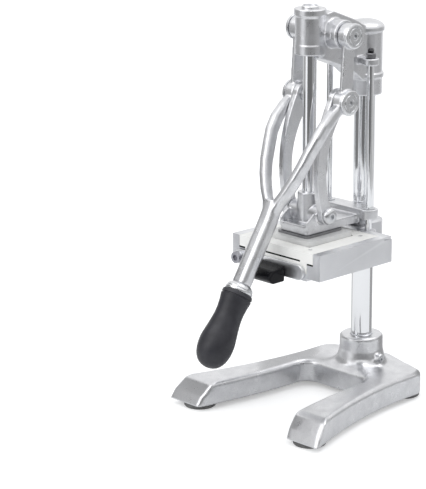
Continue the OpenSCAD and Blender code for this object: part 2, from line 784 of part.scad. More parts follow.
// A shouldered pivot screw along X: a disc with a hex socket, and its pin toward the middle
module pivot_screw(pivot, disc_r, disc_ends, pin_r, pin_end) difference() {
    union() {
        translate([disc_ends[0], pivot[0], pivot[1]]) rotate([0, 90, 0]) rotate_extrude() polygon([
            [0, 0], [disc_r, 0], [disc_r, disc_ends[1] - disc_ends[0] - disc_edge],
            [disc_r - disc_edge, disc_ends[1] - disc_ends[0]], [0, disc_ends[1] - disc_ends[0]]
        ]);
        bar_x(pin_r, [pin_end, disc_ends[1] - disc_edge], pivot[0], pivot[1]);
    }
    translate([disc_ends[1] - socket_hex_depth, pivot[0], pivot[1]]) rotate([0, 90, 0])
        cylinder(r = socket_hex_r, h = socket_hex_depth + over, $fn = 6);
}

module top_pivot_screws() color("lightgray") both_sides()
    pivot_screw(head_pivot, disc_r, [disc_x + gap, disc_x + gap + disc_t],
        pivot_r, side_boss_x - pivot_seat);

// Lever

// Its children in the frame of the lever: the lower pivot is the origin and the lever runs down -Z
module along_lever() translate([0, lever_pivot[0], lever_pivot[1]]) rotate([-lever_lean, 0, 0]) children();

// A ring of the lever's section, twelve points with broad flats, square to Z in the lever's frame
function section(centre, w, t) =
    let (quarter = [for (c = corner_shares) [c[0] * w / 2, c[1] * t / 2]]) concat(
    [for (c = quarter) centre + [c[0], c[1], 0]],
    [for (i = [2 : -1 : 0]) centre + [-quarter[i][0], quarter[i][1], 0]],
    [for (c = quarter) centre + [-c[0], -c[1], 0]],
    [for (i = [2 : -1 : 0]) centre + [quarter[i][0], -quarter[i][1], 0]]);

module fork_arm() skin([for (f = fork_shares)
    section([f[1] * fork_x, -f[2] * fork_rise, -f[0] * fork_len], fork_arm_w, fork_arm_t)]);

module lever_yoke() color("silver") difference() {
    union() {
        both_sides() {
            bar_x(head_hub_r, [head_hub_x, disc_x], head_pivot[0], head_pivot[1]);
            bar_x(yoke_hub_r, [yoke_x, disc_x], lever_pivot[0], lever_pivot[1]);
            translate([crank_x, lever_pivot[0], lever_pivot[1]]) rotate([-crank_lean, 0, 0])
                slab([0, crank_t], [-crank_w / 2, crank_w / 2], [0, crank_len]);
            along_lever() fork_arm();
        }
        along_lever() skin(concat(
            [for (s = shank_shares)
                section([0, -s[1] * fork_rise, -s[0] * fork_len], s[2] * shank_d, s[2] * shank_d)],
            [section([0, 0, -grip_start + ferrule_h], shank_d, shank_d)]));
        along_lever() bar_z(tang_r, [-grip_start - tang_len, -grip_start + ferrule_h + over]);
    }
    both_sides() {
        bar_x(pivot_r + fit, [head_hub_x - over, disc_x + over], head_pivot[0], head_pivot[1]);
        bar_x(pivot_r + fit, [yoke_x - over, disc_x + over], lever_pivot[0], lever_pivot[1]);
    }
}

module ferrule() color("silver") along_lever() translate([0, 0, -grip_start]) difference() {
    rotate_extrude() polygon([
        [0, 0], [ferrule_lip_r, 0], [ferrule_lip_r, ferrule_lip_h],
        [ferrule_r, ferrule_lip_h * ferrule_step_share],
        [shank_d * ferrule_top_share, ferrule_h], [0, ferrule_h]
    ]);
    translate([0, 0, -over]) cylinder(r = tang_r + fit, h = ferrule_h + 2 * over);
}

module grip() color("black") along_lever() translate([0, 0, -grip_start]) difference() {
    rotate_extrude() polygon(concat(
        [for (g = grip_shares) [g[1] * grip_d / 2, -g[0] * grip_len]], [[0, 0]]));
    translate([0, 0, -tang_len - gap]) cylinder(r = tang_r + fit, h = tang_len + gap + over);
}

module side_pivot_screws() color("lightgray") both_sides()
    pivot_screw(lever_pivot, disc_r, [disc_x, disc_x + disc_t], pivot_r, yoke_x);

// Curved arms

// Outline of an arm, with the carriage pivot at the origin and the lever pivot on +Y
function arm_outline() = let (
        eye = [0, arm_len],
        eye_end = eye + arm_eye_r * [cos(eye_turn), sin(eye_turn)],
        foot_end = arm_foot_r * [cos(foot_turn), sin(foot_turn)])
    concat(
        bow([-arm_foot_r, 0], eye - [arm_eye_r, 0], bow_front - (arm_foot_r + arm_eye_r) / 2, arm_steps),
        inner_arc(eye, arm_eye_r, 180, eye_turn, arm_steps),
        bow(eye_end, foot_end, -(bow_front - bow_w + arm_eye_r / 4), arm_steps),
        inner_arc([0, 0], arm_foot_r, foot_turn, -180, arm_steps));

module arm_blank() difference() {
    translate([arm_x, carriage_pivot[0], carriage_pivot[1]]) rotate([-arm_angle, 0, 0])
        rotate([90, 0, 90]) linear_extrude(arm_t) polygon(arm_outline());
    bar_x(small_pivot_r + fit, [arm_x - over, arm_x + arm_t + over], carriage_pivot[0], carriage_pivot[1]);
    bar_x(pivot_r + fit, [arm_x - over, arm_x + arm_t + over], lever_pivot[0], lever_pivot[1]);
}

module connecting_arm_right() color("silver") arm_blank();

module connecting_arm_left() color("silver") mirror([1, 0, 0]) arm_blank();

module arm_pins() color("lightgray") both_sides() {
    bar_x(pin_head_r, [arm_x - pin_head_t, arm_x], lever_pivot[0], lever_pivot[1]);
    bar_x(pivot_r, [arm_x - pin_head_t / 2, arm_x + arm_t], lever_pivot[0], lever_pivot[1]);
}

// Carriage

module carriage_casting() color("silver") difference() {
    union() {
        round_slab([-plate_x, plate_x], [-plate_front, -plate_rear], [plate_z, plate_z + plate_t], plate_r);
        bar_z(tube_r, [plate_z, tube_top], 0, -piston_reach);
        bar_x(hub_r, [-hub_x, hub_x], carriage_pivot[0], carriage_pivot[1]);
        slab([-hub_x + hub_r / 2, hub_x - hub_r / 2], [-piston_reach - hub_r / 2, -piston_reach + hub_r / 2],
            [plate_z, carriage_pivot[1]]);
        both_sides() side_plate([plate_x - gusset_t, plate_x], [
            [-plate_front, plate_z + plate_t / 2], [-plate_front, plate_z + plate_t + gusset_h / 3],
            [-plate_front + gusset_d, plate_z + plate_t + gusset_h],
            [-piston_reach, plate_z + plate_t], [-piston_reach, plate_z + plate_t / 2]
        ]);
        round_slab([-guide_x, guide_x], [-crossbar_front, -crossbar_rear],
            [crossbar_z, crossbar_top], plate_r);
        both_sides() bar_z(ear_r, [crossbar_z, crossbar_top], guide_x, -guide_set);
    }
    bar_z(piston_d / 2 + fit, [plate_z + plate_t / 2, tube_top + over], 0, -piston_reach);
    both_sides() bar_x(small_pivot_r + fit, [hub_x - small_pivot_seat, hub_x + over],
        carriage_pivot[0], carriage_pivot[1]);
    both_sides() bar_z(guide_bush_r + fit, [crossbar_z - over, crossbar_top + over], guide_x, -guide_set);
    screw_places() {
        bar_z(screw_r + fit, [plate_z - over, plate_z + plate_t + over]);
        bar_z(screw_head_r + gap, [plate_z + plate_t - screw_head_t, plate_z + plate_t + gusset_h]);
    }
}

module piston_rod() color("gainsboro") translate([0, -piston_reach, 0]) rotate_extrude() polygon([
    [0, plate_z + plate_t / 2], [piston_d / 2, plate_z + plate_t / 2],
    [piston_d / 2, piston_top - piston_edge], [piston_d / 2 - piston_edge, piston_top], [0, piston_top]
]);

module guide_bushes() color("darkgray") both_sides() difference() {
    union() {
        bar_z(guide_bush_r, [crossbar_z, crossbar_top], guide_x, -guide_set);
        bar_z(guide_bush_lip_r, [crossbar_top, crossbar_top + guide_bush_lip], guide_x, -guide_set);
    }
    bar_z(guide_d / 2 + fit, [crossbar_z - over, crossbar_top + guide_bush_lip + over],
        guide_x, -guide_set);
}

module lower_pivot_screws() color("lightgray") both_sides()
    pivot_screw(carriage_pivot, small_disc_r, [arm_x + arm_t + gap, arm_x + arm_t + gap + small_disc_t],
        small_pivot_r, hub_x - small_pivot_seat);

module screw_places() for (x = [-screw_x, screw_x], y = [-screw_front, -screw_rear])
    translate([x, y, 0]) children();

module pusher_plate() color("gainsboro") difference() {
    round_slab([-plate_x - lip_set, plate_x + lip_set],
        [-plate_front - lip_set, -screw_rear + screw_head_r * 2], [plate_z - lip_t, plate_z], plate_r);
    screw_places() bar_z(screw_r + fit, [plate_z - lip_t - over, plate_z + over]);
}

module pusher_block() color("linen") difference() {
    union() {
        round_slab([-block_half, block_half], [-piston_reach - block_half, -piston_reach + block_half],
            [block_z, plate_z - lip_t], block_r);
        for (i = [0 : cells - 1], j = [0 : cells - 1])
            translate([(i + 1 / 2) * cell - window / 2, (j + 1 / 2) * cell - window / 2 - piston_reach, 0])
                slab([-finger_w / 2, finger_w / 2], [-finger_w / 2, finger_w / 2],
                    [finger_z, block_z + over]);
    }
    screw_places() bar_z(screw_r + fit, [plate_z - screw_len - over, plate_z]);
}

module pusher_screws() color("lightgray") screw_places() difference() {
    union() {
        bar_z(screw_r, [plate_z - screw_len, plate_z + plate_t - screw_head_t / 2]);
        bar_z(screw_head_r, [plate_z + plate_t - screw_head_t, plate_z + plate_t]);
    }
    bar_z(screw_r * hex_share, [plate_z + plate_t - screw_head_t / 2, plate_z + plate_t + over], $fn = 6);
}

base_casting();
rubber_feet();
foot_screws();
column();
socket_screw();
tray_frame();
tray_screw();
blade_holder();
holder_cover();
holder_screws();
blades_lengthwise();
blades_crosswise();
latch_bolt();
latch_washer();
head_casting();
head_screw();
guide_rods();
guide_nuts();
piston_bushing();
top_pivot_screws();
lever_yoke();
ferrule();
grip();
side_pivot_screws();
connecting_arm_left();
connecting_arm_right();
arm_pins();
carriage_casting();
piston_rod();
pusher_plate();
pusher_block();
pusher_screws();
guide_bushes();
lower_pivot_screws();
latch_bar();
latch_grip();
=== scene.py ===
# A bench-top french fry cutter: a splayed cast base, a chromed column with a blade tray and a head,
# and a forked hand lever that drives a pusher block down through the blades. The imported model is
# the frame, and each piece below is dressed in its place on it. The camera and the studio are laid
# out in metres, and the pieces' own sizes are in millimetres, which mm turns into metres.

import math

import bpy
from mathutils import Matrix, Vector


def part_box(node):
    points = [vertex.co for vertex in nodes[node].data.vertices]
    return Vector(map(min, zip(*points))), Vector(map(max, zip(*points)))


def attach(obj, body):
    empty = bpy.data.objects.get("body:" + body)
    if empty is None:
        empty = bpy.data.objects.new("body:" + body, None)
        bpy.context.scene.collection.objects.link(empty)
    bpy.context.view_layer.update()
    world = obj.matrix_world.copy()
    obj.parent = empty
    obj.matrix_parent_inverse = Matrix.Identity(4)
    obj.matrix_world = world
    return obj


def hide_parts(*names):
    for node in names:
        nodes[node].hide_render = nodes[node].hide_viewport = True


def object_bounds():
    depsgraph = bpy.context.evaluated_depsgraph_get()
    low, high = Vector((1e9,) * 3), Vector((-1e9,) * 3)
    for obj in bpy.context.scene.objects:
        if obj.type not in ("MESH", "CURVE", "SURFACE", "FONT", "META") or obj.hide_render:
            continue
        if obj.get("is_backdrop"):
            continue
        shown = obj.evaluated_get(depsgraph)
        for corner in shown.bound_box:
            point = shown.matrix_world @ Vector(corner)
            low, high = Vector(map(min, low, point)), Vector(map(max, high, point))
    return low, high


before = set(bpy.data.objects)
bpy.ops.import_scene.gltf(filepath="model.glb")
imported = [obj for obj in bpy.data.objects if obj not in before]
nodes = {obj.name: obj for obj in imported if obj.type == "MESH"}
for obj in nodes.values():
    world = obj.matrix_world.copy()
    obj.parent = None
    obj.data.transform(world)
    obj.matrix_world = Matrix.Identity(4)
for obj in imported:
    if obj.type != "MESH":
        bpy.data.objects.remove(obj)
cad_low, cad_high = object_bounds()
mm = 0.001

# Camera. It stands in front of the cutter, on the user's right and a little above it, far off and
# with a long lens, as for a catalogue picture.
camera = bpy.data.objects.new("camera", bpy.data.cameras.new("camera"))
bpy.context.scene.collection.objects.link(camera)
camera.location = (1.52776, -1.67889, 0.80104)
camera.rotation_euler = [math.radians(turn) for turn in (73.97, 0, 45.28)]
camera.data.sensor_width = 36
camera.data.lens = 161.6
camera.data.shift_x = -0.0811
camera.data.shift_y = 0.0209
camera.data.clip_end = 100
bpy.context.scene.camera = camera

# Studio. A white paper floor in a white room, two large soft lamps, and grey cards round the cutter
# that show only in its metal, as the dark parts of a studio do.
bpy.context.scene.view_settings.view_transform = "Standard"
middle = (cad_low + cad_high) / 2
floor_r, floor_glow = 9, 0.36


def shader_tree(owner):
    """The node tree of a material or a world."""
    owner.use_nodes = True
    return owner.node_tree


def set_inputs(part, values):
    """Sets a node's inputs by their labels."""
    for label, value in values.items():
        part.inputs[label].default_value = value


def reckoned(tree, operation, first, second, clamp=False):
    """What a math node makes of two values, each a number or another node's output."""
    step = tree.nodes.new("ShaderNodeMath")
    step.operation = operation
    step.use_clamp = clamp
    for socket, value in zip(step.inputs, (first, second)):
        if isinstance(value, bpy.types.NodeSocket):
            tree.links.new(value, socket)
        else:
            socket.default_value = value
    return step.outputs[0]


world = bpy.data.worlds.new("studio")
bpy.context.scene.world = world
tree = shader_tree(world)
room, output = tree.nodes["Background"], tree.nodes["World Output"]
set_inputs(room, {"Color": (0.97, 0.985, 1.0, 1), "Strength": 0.86})
paper = tree.nodes.new("ShaderNodeBackground")
set_inputs(paper, {"Color": (1, 1, 1, 1)})
ray = tree.nodes.new("ShaderNodeLightPath")
seen = ray.outputs["Is Camera Ray"]
for label in ("Is Glossy Ray", "Is Transmission Ray"):
    seen = reckoned(tree, "ADD", seen, ray.outputs[label], clamp=True)
pick = tree.nodes.new("ShaderNodeMixShader")
tree.links.new(seen, pick.inputs[0])
tree.links.new(room.outputs[0], pick.inputs[1])
tree.links.new(paper.outputs[0], pick.inputs[2])
tree.links.new(pick.outputs[0], output.inputs["Surface"])

bpy.ops.mesh.primitive_circle_add(vertices=96, radius=floor_r, fill_type="NGON")
floor = bpy.context.active_object
floor.name = "floor"
floor_paper = bpy.data.materials.new("floor paper")
tree = shader_tree(floor_paper)
surface = tree.nodes["Principled BSDF"]
set_inputs(surface, {
    "Base Color": (0.8, 0.8, 0.8, 1), "Roughness": 0.9, "Specular IOR Level": 0.0,
    "Emission Color": (1, 1, 1, 1),
})
ray = tree.nodes.new("ShaderNodeLightPath")
glow = reckoned(tree, "MULTIPLY", ray.outputs["Is Camera Ray"], floor_glow)
tree.links.new(glow, surface.inputs["Emission Strength"])
floor.data.materials.append(floor_paper)
floor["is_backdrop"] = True


def lamp(name, place, size, power):
    """A square soft lamp that faces the middle of the cutter."""
    light = bpy.data.objects.new(name, bpy.data.lights.new(name, "AREA"))
    bpy.context.scene.collection.objects.link(light)
    light.data.size = size
    light.data.energy = power
    light.location = place
    light.rotation_euler = (middle - Vector(place)).to_track_quat("-Z", "Y").to_euler()


lamp("key", place=(-0.6, -2.3, 2.2), size=3.0, power=34)
lamp("top", place=(0.5, 0.7, 2.6), size=1.8, power=14)

# Each card: the direction it stands in and its width, in degrees; its lower edge, its height and how
# far off it stands, in metres; how bright it is; and the Y of the point that it stands round. The
# last three are small cards nearer to the cutter, round its column.
cards = [
    (-46, 80, 0, 0.55, 0.95, 0.16, middle.y),
    (9, 30, 0, 0.50, 0.95, 0.34, middle.y),
    (54, 54, 0, 0.50, 0.95, 0.46, middle.y),
    (-150, 60, 0, 0.85, 0.95, 0.42, middle.y),
    (68, 50, 0, 0.13, 0.12, 0.38, 0),
    (175, 40, 0, 0.13, 0.12, 0.62, 0),
    (-130, 36, 0.165, 0.12, 0.34, 0.2, 0),
]
for turn, wide, foot, tall, away, shade, round_y in cards:
    angle = math.radians(turn)
    bpy.ops.mesh.primitive_plane_add(
        size=1, rotation=(math.radians(90), 0, angle + math.radians(90)),
        location=(math.cos(angle) * away, round_y + math.sin(angle) * away, foot + tall / 2),
    )
    card = bpy.context.active_object
    card.name = f"card_{turn}"
    card.scale = (2 * away * math.tan(math.radians(wide / 2)), tall, 1)
    bpy.ops.object.transform_apply(location=True, rotation=True, scale=True)
    card_paper = bpy.data.materials.new(card.name)
    set_inputs(shader_tree(card_paper).nodes["Principled BSDF"], {
        "Base Color": (0, 0, 0, 1), "Specular IOR Level": 0, "Emission Color": (1, 1, 1, 1),
        "Emission Strength": shade,
    })
    card.data.materials.append(card_paper)
    card.visible_camera = card.visible_diffuse = card.visible_shadow = False
    card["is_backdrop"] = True

# Base. One aluminium casting with two splayed legs and the column's socket, tumbled and then polished
# by hand: its edges are round, it has slow waves, fine pits and faint streaks along the legs. The ribs
# beside the socket are fettled to soft ridges.
socket_h = 32
rib_end, rib_end_fade = 52, 6  # from the column's axis outwards
rib_top, rib_top_fade = 9, 3  # from the legs' upper face upwards
fettle_rounds = 220


def make_group(name, inputs, outputs):
    """A shader node group with number inputs and named outputs, and its two end nodes."""
    tree = bpy.data.node_groups.new(name, "ShaderNodeTree")
    for label, value in inputs.items():
        socket = tree.interface.new_socket(label, in_out="INPUT", socket_type="NodeSocketFloat")
        socket.default_value = value
    for label, kind in outputs.items():
        tree.interface.new_socket(label, in_out="OUTPUT", socket_type=kind)
    return tree, tree.nodes.new("NodeGroupInput"), tree.nodes.new("NodeGroupOutput")


def make_grain_group():
    """Grain: fine pits, slow waves and streaks along Y. Tone and Edge are masks, Normal has the relief.
    Edge marks the sharp edges by their pointiness; it tints them bright, partly as wear and partly as a
    painted highlight. Sizes and reliefs are in millimetres."""
    streak_squash, wave_share = 0.04, 0.55
    edge_start, edge_full = 0.515, 0.6
    tree, given, made = make_group(
        "grain",
        {"Size": 0.8, "Relief": 0.02, "Wave": 9.0, "Wave relief": 0.1, "Streak": 0.5, "Streak relief": 0.0,
         "Edge": 1.0},
        {"Tone": "NodeSocketFloat", "Edge": "NodeSocketFloat", "Normal": "NodeSocketVector"},
    )
    node, wire = tree.nodes.new, tree.links.new
    place = node("ShaderNodeTexCoord").outputs["Object"]
    long_place = node("ShaderNodeVectorMath")
    long_place.operation = "MULTIPLY"
    long_place.inputs[1].default_value = (1, streak_squash, 1)
    wire(place, long_place.inputs[0])
    fields, normal = [], None
    for size, depth, start, detail in (
        ("Size", "Relief", place, 4), ("Wave", "Wave relief", place, 3),
        ("Streak", "Streak relief", long_place.outputs[0], 3),
    ):
        field = node("ShaderNodeTexNoise")
        field.inputs["Detail"].default_value = detail
        wire(start, field.inputs["Vector"])
        wire(reckoned(tree, "DIVIDE", 1 / mm, given.outputs[size]), field.inputs["Scale"])
        fields.append(field.outputs[0])
        relief = node("ShaderNodeBump")
        wire(field.outputs[0], relief.inputs["Height"])
        wire(reckoned(tree, "MULTIPLY", given.outputs[depth], mm), relief.inputs["Distance"])
        if normal is not None:
            wire(normal, relief.inputs["Normal"])
        normal = relief.outputs[0]
    wire(normal, made.inputs["Normal"])
    tone = node("ShaderNodeMix")
    tone.inputs[0].default_value = wave_share
    wire(fields[0], tone.inputs[2])
    wire(fields[1], tone.inputs[3])
    wire(tone.outputs[0], made.inputs["Tone"])
    # Painted highlight and wear: the edge mask, from pointiness, that tints sharp edges bright.
    edge = node("ShaderNodeMapRange")
    set_inputs(edge, {"From Min": edge_start, "From Max": edge_full})
    wire(node("ShaderNodeNewGeometry").outputs["Pointiness"], edge.inputs["Value"])
    wire(reckoned(tree, "MULTIPLY", edge.outputs[0], given.outputs["Edge"]), made.inputs["Edge"])
    return tree


def make_lathe_group():
    """Rings that a lathe leaves round a turned piece's axis, a given pitch apart, as a relief's height."""
    tree, given, made = make_group("lathe", {"Pitch": 0.35}, {"Height": "NodeSocketFloat"})
    reach = tree.nodes.new("ShaderNodeAttribute")
    reach.attribute_name = "turned_r"
    ring = tree.nodes.new("ShaderNodeTexNoise")
    ring.noise_dimensions = "1D"
    ring.inputs["Scale"].default_value = 1
    tree.links.new(reckoned(tree, "DIVIDE", reach.outputs["Fac"], given.outputs["Pitch"]), ring.inputs["W"])
    tree.links.new(ring.outputs[0], made.inputs["Height"])
    return tree


grain_group = make_grain_group()
lathe_group = make_lathe_group()


def make_finish(name, dark, light, rough, metallic=1.0, edge_wear_and_highlight=None, specular=0.5, rings=0.0, **grain):
    """A material whose colour and roughness vary with the grain, and whose sharp edges are tinted bright,
    partly as wear and partly as a painted highlight. Rings is how deep its lathe marks are, in millimetres."""
    tone_low, tone_high = 0.38, 0.62
    finish = bpy.data.materials.new(name)
    tree = shader_tree(finish)
    part, wire = tree.nodes.new, tree.links.new
    surface = tree.nodes["Principled BSDF"]
    skin = part("ShaderNodeGroup")
    skin.node_tree = grain_group
    set_inputs(skin, {label.replace("_", " "): value for label, value in grain.items()})
    spread = part("ShaderNodeMapRange")
    set_inputs(spread, {"From Min": tone_low, "From Max": tone_high})
    wire(skin.outputs["Tone"], spread.inputs["Value"])
    colour = part("ShaderNodeMix")
    colour.data_type = "RGBA"
    colour.inputs[6].default_value = (*dark, 1)
    colour.inputs[7].default_value = (*light, 1)
    wire(spread.outputs[0], colour.inputs[0])
    # Painted highlight and wear: the sharp edges are mixed towards the bright edge tint.
    bright = part("ShaderNodeMix")
    bright.data_type = "RGBA"
    bright.inputs[7].default_value = (*(edge_wear_and_highlight or light), 1)
    wire(skin.outputs["Edge"], bright.inputs[0])
    wire(colour.outputs[2], bright.inputs[6])
    wire(bright.outputs[2], surface.inputs["Base Color"])
    gloss = part("ShaderNodeMapRange")
    set_inputs(gloss, {"To Min": rough[0], "To Max": rough[1]})
    wire(spread.outputs[0], gloss.inputs["Value"])
    wire(gloss.outputs[0], surface.inputs["Roughness"])
    normal = skin.outputs["Normal"]
    if rings:
        lathe = part("ShaderNodeGroup")
        lathe.node_tree = lathe_group
        groove = part("ShaderNodeBump")
        groove.inputs["Distance"].default_value = rings * mm
        wire(lathe.outputs["Height"], groove.inputs["Height"])
        wire(normal, groove.inputs["Normal"])
        normal = groove.outputs[0]
    wire(normal, surface.inputs["Normal"])
    set_inputs(surface, {"Metallic": metallic, "Specular IOR Level": specular})
    return finish


cast_aluminium = make_finish(
    "cast aluminium", (0.66, 0.665, 0.685), (0.76, 0.765, 0.785), (0.37, 0.27), edge_wear_and_highlight=(0.93, 0.94, 0.96),
    Size=1.2, Relief=0.03, Wave=11, Wave_relief=0.2, Streak=0.9, Streak_relief=0.012, Edge=0.8,
)


def alone(piece):
    """Selects one piece and makes it the active one."""
    bpy.ops.object.select_all(action="DESELECT")
    piece.select_set(True)
    bpy.context.view_layer.objects.active = piece


def finish_with(piece, kind, **settings):
    """Adds a modifier with its settings and applies it."""
    alone(piece)
    bpy.ops.object.modifier_add(type=kind)
    for label, value in settings.items():
        setattr(piece.modifiers[-1], label, value)
    bpy.ops.object.modifier_apply(modifier=piece.modifiers[-1].name)


def traced(node, name):
    """A new piece with the shape of a CAD node, its doubles merged and its flat faces whole."""
    merge_gap, flat_angle = 0.02, 0.3
    piece = bpy.data.objects.new(name, nodes[node].data.copy())
    bpy.context.scene.collection.objects.link(piece)
    piece.data.materials.clear()
    alone(piece)
    bpy.ops.object.mode_set(mode="EDIT")
    bpy.ops.mesh.select_all(action="SELECT")
    bpy.ops.mesh.remove_doubles(threshold=merge_gap * mm)
    bpy.ops.mesh.dissolve_limited(angle_limit=math.radians(flat_angle))
    bpy.ops.object.mode_set(mode="OBJECT")
    if piece.data.has_custom_normals:
        bpy.ops.mesh.customdata_custom_splitnormals_clear()
    return piece


def dress(piece, material, body, node):
    """Gives a piece its material and the body it rides on, and hides the CAD node that it stands for."""
    piece.data.materials.clear()
    piece.data.materials.append(material)
    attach(piece, body)
    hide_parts(node)


def casting(node, name, body, voxel, rounds):
    """A CAD node's shape cast in one: its corners fillet and its edges round off."""
    piece = traced(node, name)
    finish_with(piece, "REMESH", mode="VOXEL", voxel_size=voxel * mm)
    finish_with(piece, "SMOOTH", factor=0.5, iterations=rounds)
    bpy.ops.object.shade_smooth()
    dress(piece, cast_aluminium, body, node)
    return piece


def faded(inside, fade):
    """How much a point in a zone counts: 0 at the zone's border, 1 where it is fade or more inside."""
    return min(1, max(0, inside / fade))


base = casting("base_casting", "base", "stand", voxel=1.1, rounds=12)
deck_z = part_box("base_casting")[1][2] / mm - socket_h
fettled = base.vertex_groups.new(name="fettled")
for corner in base.data.vertices:
    place = corner.co / mm
    near = faded(rib_end - place.xy.length, rib_end_fade)
    near *= faded(place.z - deck_z + rib_top_fade, rib_top_fade)
    near *= faded(deck_z + rib_top - place.z, rib_top_fade)
    if near:
        fettled.add([corner.index], near, "REPLACE")
finish_with(base, "SMOOTH", factor=0.5, iterations=fettle_rounds, vertex_group="fettled")
base.vertex_groups.clear()

# Feet. Four pads of grey moulded rubber under the base, on which it stands on the bench. Each is held
# from below by a turned steel screw.


def softened(node, name, body, material, edge, steps=3):
    """A CAD node's shape with its sharp edges rounded, each over this width."""
    sharp_angle, smooth_angle = 28, 25
    piece = traced(node, name)
    finish_with(piece, "BEVEL", width=edge * mm, segments=steps, limit_method="ANGLE",
                angle_limit=math.radians(sharp_angle), use_clamp_overlap=True, harden_normals=False)
    bpy.ops.object.shade_smooth_by_angle(angle=math.radians(smooth_angle))
    finish_with(piece, "WEIGHTED_NORMAL", keep_sharp=True, weight=100)
    dress(piece, material, body, node)


rubber = make_finish(
    "grey rubber", (0.11, 0.11, 0.11), (0.17, 0.17, 0.17), (0.85, 0.7), metallic=0.0, Size=0.5, Relief=0.03,
    Wave=8, Wave_relief=0.05, Edge=0.3,
)
softened("rubber_feet", "feet", "stand", rubber, edge=0.5)
turned_steel = make_finish(
    "turned steel", (0.62, 0.63, 0.65), (0.74, 0.75, 0.77), (0.32, 0.22), edge_wear_and_highlight=(0.95, 0.95, 0.96),
    rings=0.006, Size=0.5, Relief=0.004, Wave=12, Wave_relief=0.04, Edge=0.5,
)
softened("foot_screws", "feet_screws", "stand", turned_steel, edge=0.3)

# Column. A ground and chromed steel tube with closed, chamfered ends, which carries the tray and the
# head. It stands in the base's socket, and a small turned set screw in the socket's side holds it.
chrome = make_finish(
    "chrome", (0.86, 0.87, 0.89), (0.90, 0.91, 0.93), (0.07, 0.05), Size=0.4, Relief=0.0, Wave=60,
    Wave_relief=0.0, Edge=0.0,
)
up = (0, 0, 1)


def measured(node):
    """Lowest corner, highest corner and middle of a CAD node, in millimetres."""
    low, high = (Vector(corner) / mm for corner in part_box(node))
    return low, high, (low + high) / 2


def turned(name, profile, centre, axis, cuts=(), sides=64):
    """A piece turned about an axis through centre. The profile holds radii and places along the axis;
    each cut is a bore: its radius, its two ends and its number of sides. All are in millimetres."""
    smooth_angle = 32
    bpy.ops.object.select_all(action="DESELECT")
    radius, along = profile[0]
    bpy.ops.mesh.primitive_circle_add(vertices=sides, radius=radius * mm, fill_type="NGON")
    piece = bpy.context.active_object
    piece.name = name
    bpy.ops.object.mode_set(mode="EDIT")
    bpy.ops.mesh.select_all(action="SELECT")
    bpy.ops.transform.translate(value=(0, 0, along * mm))
    for next_radius, next_along in profile[1:]:
        bpy.ops.mesh.extrude_region_move(TRANSFORM_OT_translate={"value": (0, 0, (next_along - along) * mm)})
        grown = next_radius / radius
        bpy.ops.transform.resize(value=(grown, grown, 1), center_override=(0, 0, next_along * mm))
        radius, along = next_radius, next_along
    bpy.ops.mesh.select_all(action="SELECT")
    bpy.ops.mesh.normals_make_consistent(inside=False)
    bpy.ops.object.mode_set(mode="OBJECT")
    for cut_radius, start, end, cut_sides in cuts:
        bpy.ops.mesh.primitive_cylinder_add(
            vertices=cut_sides, radius=cut_radius * mm, depth=(end - start) * mm,
            location=(0, 0, (start + end) / 2 * mm),
        )
        cutter = bpy.context.active_object
        finish_with(piece, "BOOLEAN", object=cutter, operation="DIFFERENCE", solver="EXACT")
        bpy.data.objects.remove(cutter)
    alone(piece)
    bpy.ops.object.shade_smooth_by_angle(angle=math.radians(smooth_angle))
    reach = piece.data.attributes.new("turned_r", "FLOAT", "POINT")
    for corner, mark in zip(piece.data.vertices, reach.data):
        mark.value = corner.co.xy.length / mm
    piece.data.transform(
        Matrix.Translation(Vector(centre) * mm) @ Vector(axis).to_track_quat("Z", "Y").to_matrix().to_4x4()
    )
    return piece


def rod_profile(radius, low, high, edge):
    """The profile of a plain round rod with chamfered ends."""
    return [(radius - edge, low), (radius, low + edge), (radius, high - edge), (radius - edge, high)]


low, high, _ = measured("column")
column = turned("column_tube", rod_profile(high.x, low.z, high.z, edge=0.6), (0, 0, 0), up, sides=96)
dress(column, chrome, "stand", "column")
softened("socket_screw", "base_set_screw", "stand", turned_steel, edge=0.3)

# Tray. A cast aluminium frame round the blades, with milled, flat satin walls. Its collar sits on the
# column, clamped by a black set screw.
tray_aluminium = make_finish(
    "milled aluminium", (0.56, 0.565, 0.59), (0.63, 0.635, 0.66), (0.42, 0.34), edge_wear_and_highlight=(0.92, 0.93, 0.95),
    Size=0.5, Relief=0.004, Wave=30, Wave_relief=0.05, Streak=0.35, Streak_relief=0.01, Edge=0.7,
)
softened("tray_frame", "tray", "stand", tray_aluminium, edge=1.1, steps=4)
black_oxide = make_finish(
    "black oxide steel", (0.012, 0.012, 0.014), (0.03, 0.03, 0.034), (0.34, 0.24), edge_wear_and_highlight=(0.4, 0.4, 0.42),
    Size=0.4, Relief=0.01, Wave=8, Wave_relief=0.02, Edge=0.7,
)
softened("tray_screw", "tray_set_screw", "stand", black_oxide, edge=0.3)

